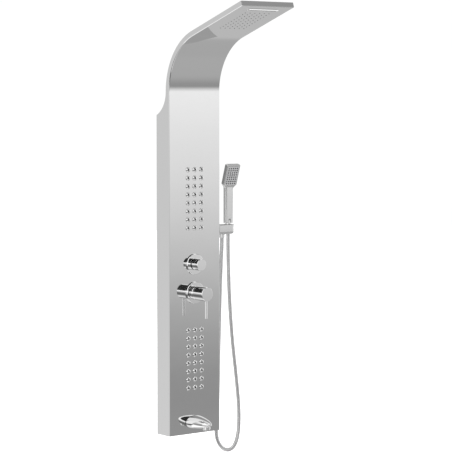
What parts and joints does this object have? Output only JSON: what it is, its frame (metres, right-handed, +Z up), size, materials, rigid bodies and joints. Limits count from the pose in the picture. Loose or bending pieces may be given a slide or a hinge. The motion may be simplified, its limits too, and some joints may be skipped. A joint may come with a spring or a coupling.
{
  "type": "rainfall shower column",
  "caption": "Wall-hung steel shower panel that curves into a rain head with a waterfall slot, with body jets, diverter, lever mixer, tub spout and a hand shower on a hose.",
  "frame": {"origin": "middle of the upper wall bracket's back face, on the wall", "axes": "+Z up the column, +Y into the wall, -Y forward to the bather, +X to the bather's right when facing the wall"},
  "size_m": [0.3307, 0.469, 1.5647],
  "materials": {
    "polished_steel": "mirror polished",
    "zinc_steel": "zinc plated",
    "chrome": "polished",
    "hose_metal": "polished, ribbed",
    "braided_hose": "woven wire",
    "brass": "machined",
    "white_plastic": "moulded",
    "grey_plastic": "satin",
    "black_rubber": "matt"
  },
  "bodies": {
    "column": {"front_shell": "polished_steel", "head_top_cover": "polished_steel", "head_end_cap": "polished_steel", "upper_wall_bracket": "zinc_steel", "upper_hanger_bar": "zinc_steel", "lower_wall_bracket": "zinc_steel", "lower_hanger_bar": "zinc_steel", "rear_brace": "zinc_steel", "waterfall_lip": "chrome", "upper_jet_mat": "chrome", "lower_jet_mat": "chrome", "diverter_bonnet": "chrome", "diverter_escutcheon": "chrome", "mixer_escutcheon": "chrome", "mixer_shroud": "chrome", "spout_body": "chrome", "spout_aerator": "chrome", "handset_cradle": "chrome", "hose_outlet_nut": "chrome", "shower_hose": "hose_metal", "rain_feed_hose": "braided_hose", "waterfall_feed_hose": "braided_hose", "jet_feed_hose": "braided_hose", "jet_link_hose": "braided_hose", "handset_feed_hose": "braided_hose", "spout_feed_hose": "braided_hose", "diverter_body": "brass", "mixer_body": "brass", "mixer_retaining_nut": "brass", "hot_inlet_tail": "brass", "cold_inlet_tail": "brass", "mixed_water_link": "brass", "spout_lock_nut": "brass", "cradle_lock_nut": "brass", "rain_chamber": "white_plastic", "waterfall_chamber": "white_plastic", "upper_jet_chamber": "white_plastic", "lower_jet_chamber": "white_plastic", "diverter_cartridge": "white_plastic", "mixer_cartridge": "white_plastic", "rain_gasket": "black_rubber", "spout_gasket": "black_rubber", "cradle_liner": "black_rubber"},
    "diverter_control": {"diverter_spindle": "brass", "diverter_knob": "chrome", "diverter_grub_screw": "zinc_steel"},
    "mixer_swivel": {"mixer_carrier": "white_plastic", "mixer_stem_pin": "zinc_steel"},
    "mixer_control": {"mixer_stem": "brass", "mixer_handle": "chrome", "mixer_lever": "chrome", "mixer_grub_screw": "zinc_steel"},
    "hand_shower": {"handset_body": "chrome", "handset_faceplate": "grey_plastic", "handset_nozzle_mat": "black_rubber", "hose_cone": "chrome"}
  },
  "joints": [
    {"name": "diverter_turn", "type": "hinge", "parent": "column", "child": "diverter_control", "pos_m": [0, -0.091, -0.445], "axis": [0, -1, 0], "continuous": true},
    {"name": "mixer_temperature", "type": "hinge", "parent": "column", "child": "mixer_swivel", "pos_m": [0, -0.075, -0.544], "axis": [0, -1, 0], "range_deg": [-45, 45]},
    {"name": "mixer_flow", "type": "hinge", "parent": "mixer_swivel", "child": "mixer_control", "pos_m": [0, -0.075, -0.544], "axis": [-1, 0, 0], "range_deg": [0, 18]},
    {"name": "hand_lift", "type": "slide", "parent": "column", "child": "hand_shower", "axis": [0, 0, 1], "range_m": [0, 0.036]}
  ]
}
